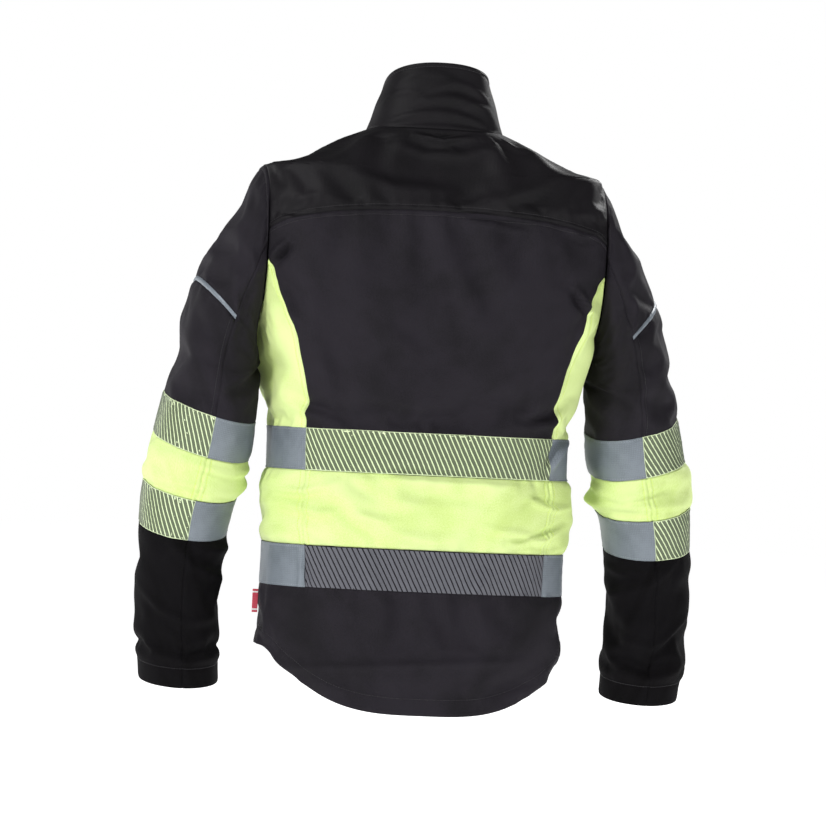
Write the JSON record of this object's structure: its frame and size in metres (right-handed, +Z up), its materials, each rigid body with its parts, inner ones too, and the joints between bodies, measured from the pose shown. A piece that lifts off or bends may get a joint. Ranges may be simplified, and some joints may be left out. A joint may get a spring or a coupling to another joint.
{
  "type": "hi-vis work jacket",
  "caption": "Hip-length hi-vis softshell work jacket: black panels, fluorescent yellow bands, reflective tapes, stand collar, full front zip, dropped tail hem.",
  "frame": {"origin": "inner top of the hanger loop inside the back neck, where a peg bears", "axes": "+Z up, -Y out of the wearer's front, +X towards the wearer's left"},
  "size_m": [0.6799, 0.2428, 0.779],
  "materials": {
    "black_softshell": "bonded softshell knit, matt black",
    "yellow_softshell": "bonded softshell knit, fluorescent yellow",
    "reflective_plain": "silver-grey glass-bead reflective tape",
    "reflective_striped": "segmented heat-applied reflective tape in slanting bars",
    "black_zip_tape": "woven polyester zip tape and pocketing",
    "zip_metal": "black-coated zinc die casting",
    "red_tag": "woven ribbon tag, plain red and white"
  },
  "bodies": {
    "jacket_body": {"back_yoke": "black_softshell", "back_panel": "black_softshell", "back_hem_panel": "black_softshell", "collar_outer": "black_softshell", "collar_facing": "black_softshell", "zip_guard": "black_softshell", "back_mid_band": "yellow_softshell", "back_upper_tape": "reflective_striped", "back_lower_tape": "reflective_striped", "hanger_loop": "black_zip_tape", "side_tag": "red_tag", "zip_retainer_box": "zip_metal", "zip_half_left": "black_zip_tape", "side_panel_left": "yellow_softshell", "side_upper_tape_left": "reflective_plain", "front_upper_tape_left": "reflective_striped", "side_lower_tape_left": "reflective_plain", "front_lower_tape_left": "reflective_striped", "front_chest_left": "black_softshell", "front_hem_panel_left": "black_softshell", "front_mid_band_left": "yellow_softshell", "hand_pocket_zip_left": "black_zip_tape", "hand_pocket_bag_left": "black_zip_tape", "zip_half_right": "black_zip_tape", "side_panel_right": "yellow_softshell", "side_upper_tape_right": "reflective_plain", "front_upper_tape_right": "reflective_striped", "side_lower_tape_right": "reflective_plain", "front_lower_tape_right": "reflective_striped", "front_chest_right": "black_softshell", "front_hem_panel_right": "black_softshell", "front_mid_band_right": "yellow_softshell", "hand_pocket_zip_right": "black_zip_tape", "hand_pocket_bag_right": "black_zip_tape"},
    "upper_sleeve_left": {"sleeve_cap_left": "black_softshell", "sleeve_piping_left": "reflective_plain", "sleeve_outer_left": "black_softshell", "sleeve_under_left": "black_softshell", "sleeve_upper_tape_outer_left": "reflective_striped", "sleeve_upper_tape_under_left": "reflective_plain", "elbow_band_left": "yellow_softshell"},
    "lower_sleeve_body_left": {"lower_sleeve_left": "black_softshell", "sleeve_lower_tape_outer_left": "reflective_striped", "sleeve_lower_tape_under_left": "reflective_plain"},
    "hand_slider_left": {"hand_pocket_slider_left": "zip_metal"},
    "hand_pull_left": {"hand_pocket_pull_left": "zip_metal"},
    "upper_sleeve_right": {"sleeve_cap_right": "black_softshell", "sleeve_piping_right": "reflective_plain", "sleeve_outer_right": "black_softshell", "sleeve_under_right": "black_softshell", "sleeve_upper_tape_outer_right": "reflective_striped", "sleeve_upper_tape_under_right": "reflective_plain", "elbow_band_right": "yellow_softshell"},
    "lower_sleeve_body_right": {"lower_sleeve_right": "black_softshell", "sleeve_lower_tape_outer_right": "reflective_striped", "sleeve_lower_tape_under_right": "reflective_plain"},
    "hand_slider_right": {"hand_pocket_slider_right": "zip_metal"},
    "hand_pull_right": {"hand_pocket_pull_right": "zip_metal"},
    "main_slider": {"main_zip_slider": "zip_metal"},
    "main_pull": {"main_zip_pull": "zip_metal"}
  },
  "joints": [
    {"name": "shoulder_raise_left", "type": "hinge", "parent": "jacket_body", "child": "upper_sleeve_left", "pos_m": [0.2052, -0.0524, -0.0694], "axis": [0, -1, 0], "range_deg": [0, 80]},
    {"name": "elbow_bend_left", "type": "hinge", "parent": "upper_sleeve_left", "child": "lower_sleeve_body_left", "pos_m": [0.267, -0.084, -0.4312], "axis": [-0.9848, 0, -0.1736], "range_deg": [0, 60], "deforming": ["elbow_band_left"]},
    {"name": "hand_zip_left", "type": "slide", "parent": "jacket_body", "child": "hand_slider_left", "axis": [0.0305, 0.0666, 0.9973], "range_m": [-0.147, 0]},
    {"name": "hand_pull_swing_left", "type": "hinge", "parent": "hand_slider_left", "child": "hand_pull_left", "pos_m": [0.15091, -0.13923, -0.44911], "axis": [-0.8282, -0.5569, 0.0625], "range_deg": [0, 120]},
    {"name": "shoulder_raise_right", "type": "hinge", "parent": "jacket_body", "child": "upper_sleeve_right", "pos_m": [-0.2052, -0.0524, -0.0694], "axis": [0, 1, 0], "range_deg": [0, 80]},
    {"name": "elbow_bend_right", "type": "hinge", "parent": "upper_sleeve_right", "child": "lower_sleeve_body_right", "pos_m": [-0.2795, -0.084, -0.4312], "axis": [-0.9848, 0, 0.1736], "range_deg": [0, 60], "deforming": ["elbow_band_right"]},
    {"name": "hand_zip_right", "type": "slide", "parent": "jacket_body", "child": "hand_slider_right", "axis": [-0.0305, 0.0666, 0.9973], "range_m": [-0.147, 0]},
    {"name": "hand_pull_swing_right", "type": "hinge", "parent": "hand_slider_right", "child": "hand_pull_right", "pos_m": [-0.15091, -0.13923, -0.44911], "axis": [-0.8282, 0.5569, -0.0625], "range_deg": [0, 120]},
    {"name": "main_zip", "type": "slide", "parent": "jacket_body", "child": "main_slider", "axis": [0, 0.0499, 0.9988], "range_m": [-0.595, 0]},
    {"name": "main_pull_swing", "type": "hinge", "parent": "main_slider", "child": "main_pull", "pos_m": [0, -0.14535, -0.02124], "axis": [-1, 0, 0], "range_deg": [0, 150]}
  ]
}
